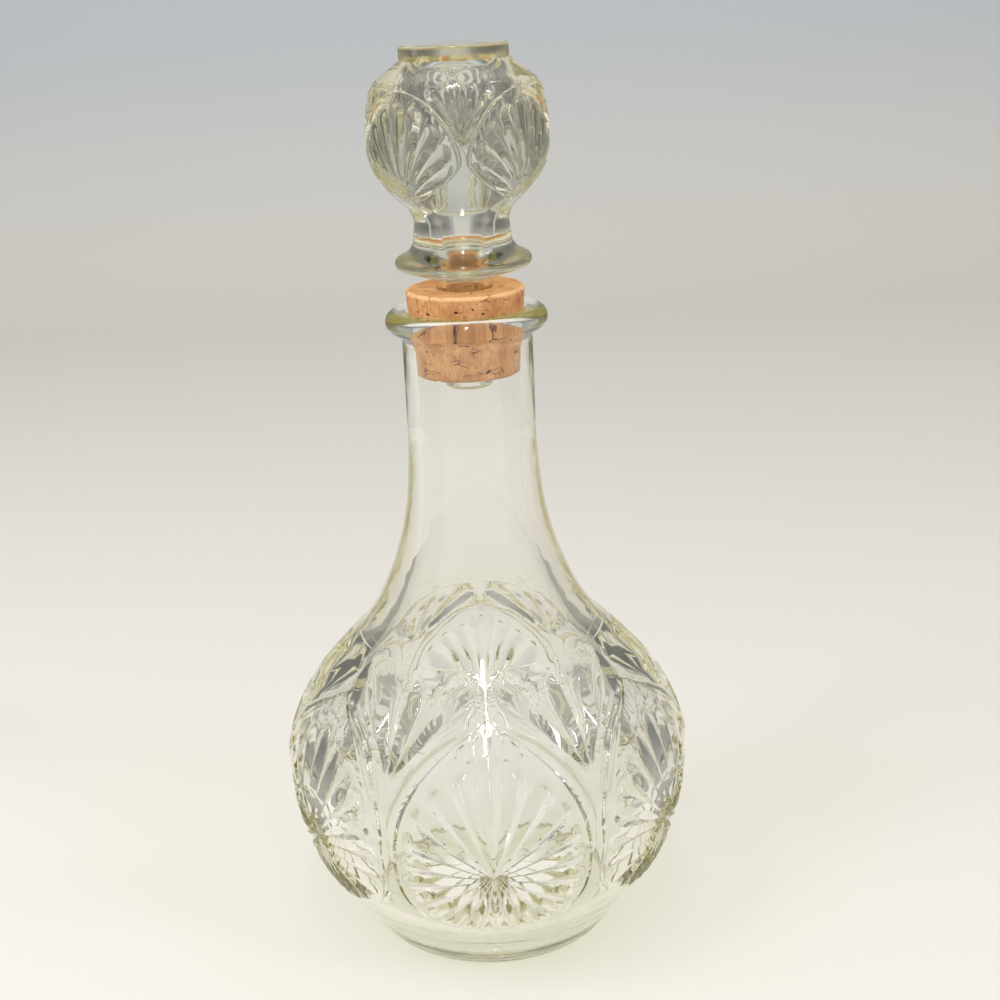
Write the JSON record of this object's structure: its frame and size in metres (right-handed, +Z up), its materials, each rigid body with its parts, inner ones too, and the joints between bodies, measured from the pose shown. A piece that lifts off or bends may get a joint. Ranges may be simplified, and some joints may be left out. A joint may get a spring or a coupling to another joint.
{
  "type": "decanter",
  "caption": "Round-bellied pressed-glass decanter with starburst and fan relief, closed by a bored cork sleeve and a hollow glass stopper on a stem.",
  "frame": {"origin": "centre of the bottle's foot ring, on the surface it stands on", "axes": "+Z up along the axis that bottle, cork and stopper share; -Y out through the middle of one starburst panel, the one that faces the viewer in the picture"},
  "size_m": [0.1378, 0.1366, 0.3],
  "materials": {
    "decanter_glass": "fire-polished clear soda-lime glass with a faint yellow-green tint",
    "stopper_glass": "fire-polished clear soda-lime glass with a faint yellow-green tint",
    "natural_cork": "natural cork"
  },
  "bodies": {
    "decanter": {"decanter_body": "decanter_glass"},
    "cork": {"cork_sleeve": "natural_cork"},
    "stopper": {"stopper": "stopper_glass"}
  },
  "joints": [
    {"name": "cork_lift", "type": "slide", "parent": "decanter", "child": "cork", "axis": [0, 0, 1], "range_m": [0, 0.08]},
    {"name": "stopper_pull", "type": "slide", "parent": "cork", "child": "stopper", "axis": [0, 0, 1], "range_m": [0, 0.045]}
  ]
}
